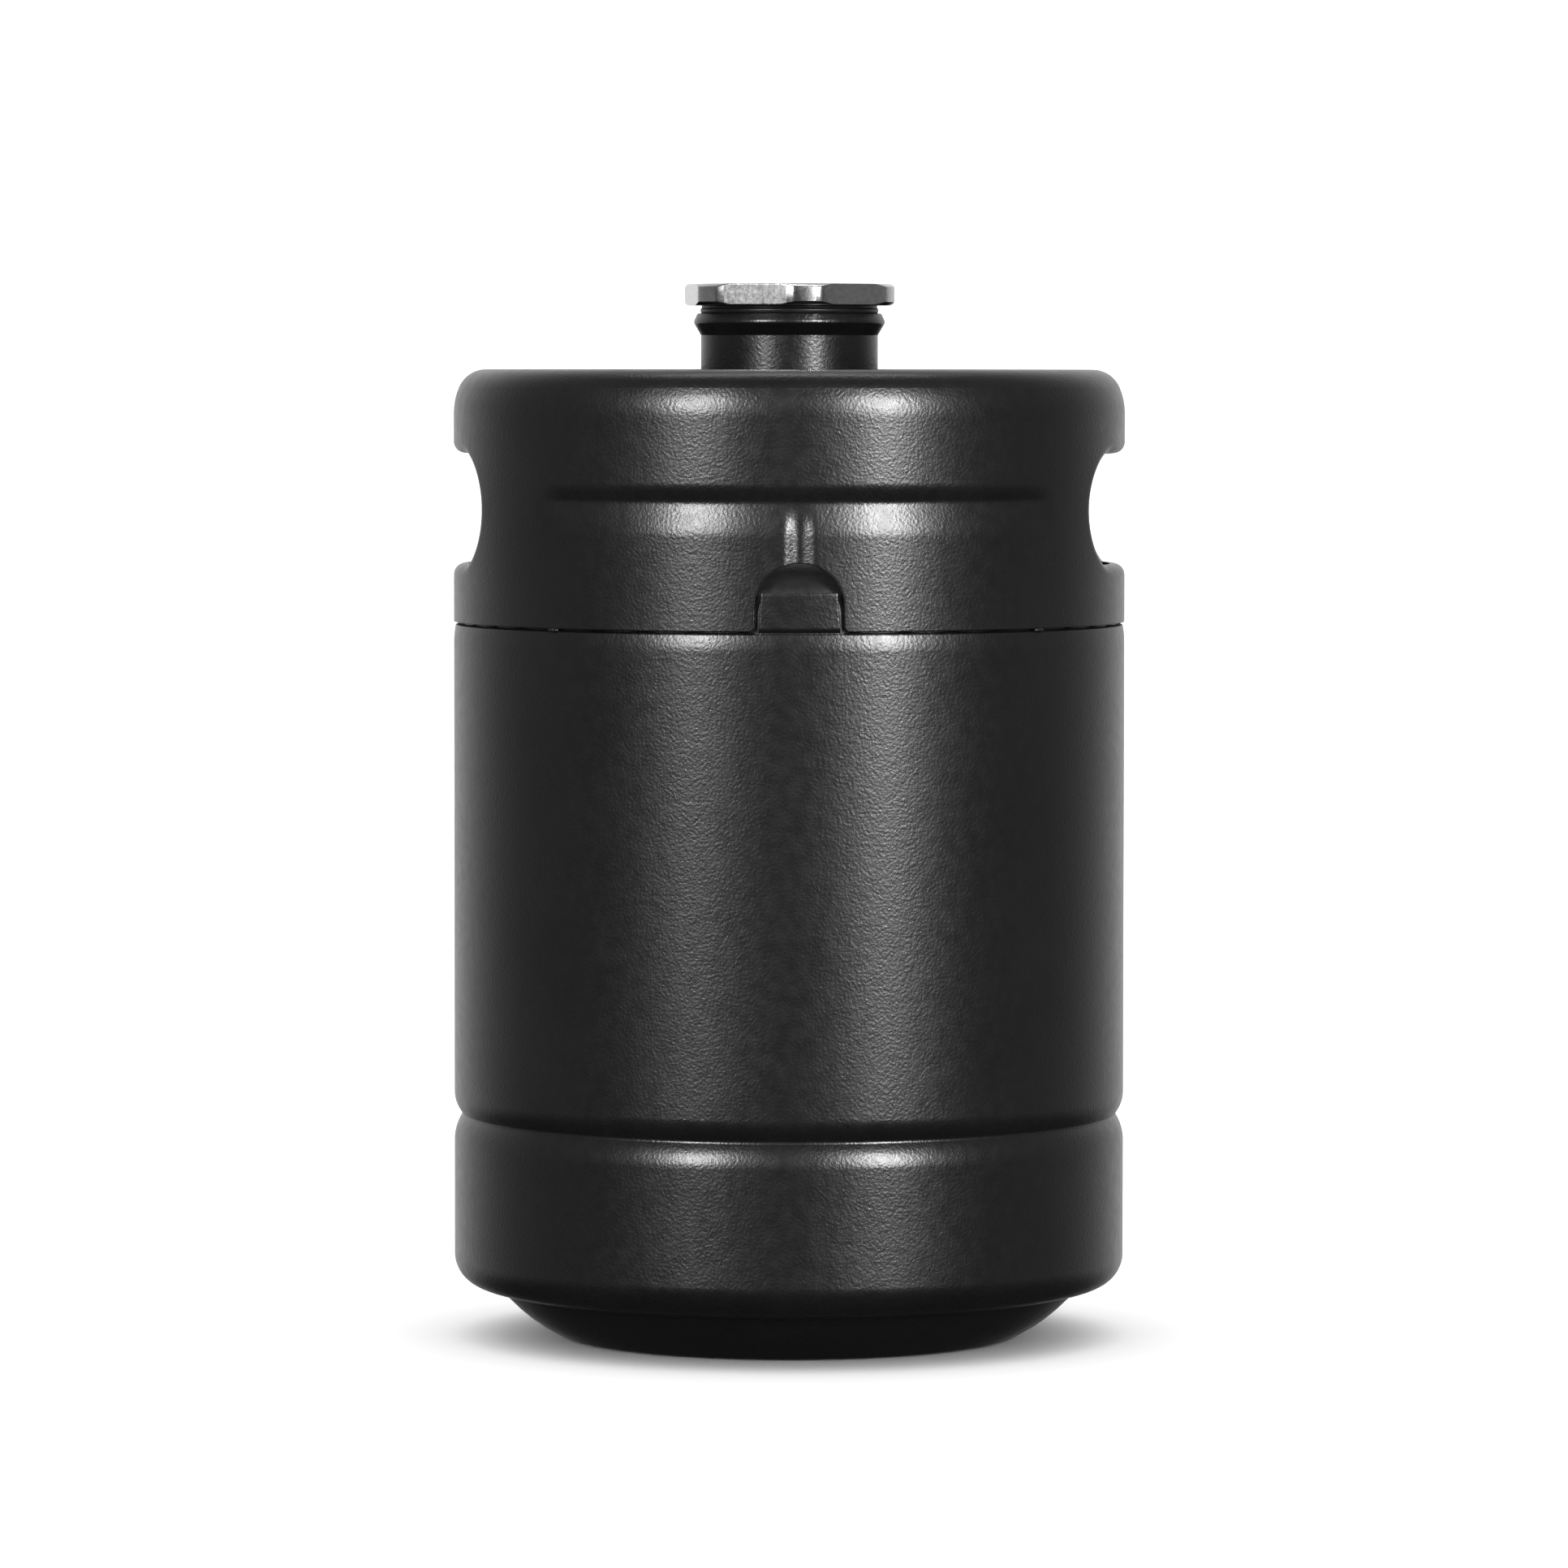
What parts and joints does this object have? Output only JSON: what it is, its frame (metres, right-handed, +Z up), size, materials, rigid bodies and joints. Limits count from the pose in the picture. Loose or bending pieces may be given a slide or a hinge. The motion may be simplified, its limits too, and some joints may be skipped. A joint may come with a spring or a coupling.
{
  "type": "mini beer keg",
  "caption": "Matte black steel mini keg with a carrying ring, side finger holes, a threaded neck and a hexagonal screw cap with a seal.",
  "frame": {"origin": "centre of the base, on the surface the keg stands on", "axes": "+Z up along the keg's axis; the front, with the drain arch and its pressed groove, faces -Y; the handle holes face +X and -X, 3.3 degrees round from square to the arches"},
  "size_m": [0.13, 0.13, 0.204],
  "materials": {
    "powder_coat": "satin fine-textured black powder coat on stainless steel",
    "brushed_steel": "turned and milled stainless steel with fine tool marks",
    "silicone": "smooth black food-grade silicone"
  },
  "bodies": {
    "keg": {"body_shell": "powder_coat", "bottom_end": "powder_coat", "bottom_weld": "powder_coat", "shoulder_dome": "powder_coat", "shoulder_weld_left": "powder_coat", "shoulder_weld_right": "powder_coat", "handle_ring": "powder_coat", "neck": "powder_coat", "neck_weld": "powder_coat", "tack_weld_front_right": "powder_coat", "tack_weld_back_right": "powder_coat", "tack_weld_back_left": "powder_coat", "tack_weld_front_left": "powder_coat"},
    "seal": {"cap_gasket": "silicone"},
    "screw_cap": {"hex_cap": "brushed_steel"}
  },
  "joints": [
    {"name": "cap_rise", "type": "slide", "parent": "keg", "child": "seal", "axis": [0, 0, 1], "range_m": [0, 0.0193]},
    {"name": "cap_turn", "type": "hinge", "parent": "seal", "child": "screw_cap", "pos_m": [0, 0, 0.2], "axis": [0, 0, 1], "range_deg": [0, 1980]}
  ],
  "couplings": [
    {"joint": "cap_rise", "follows": "cap_turn", "m_per_rad": 0.00055704}
  ]
}
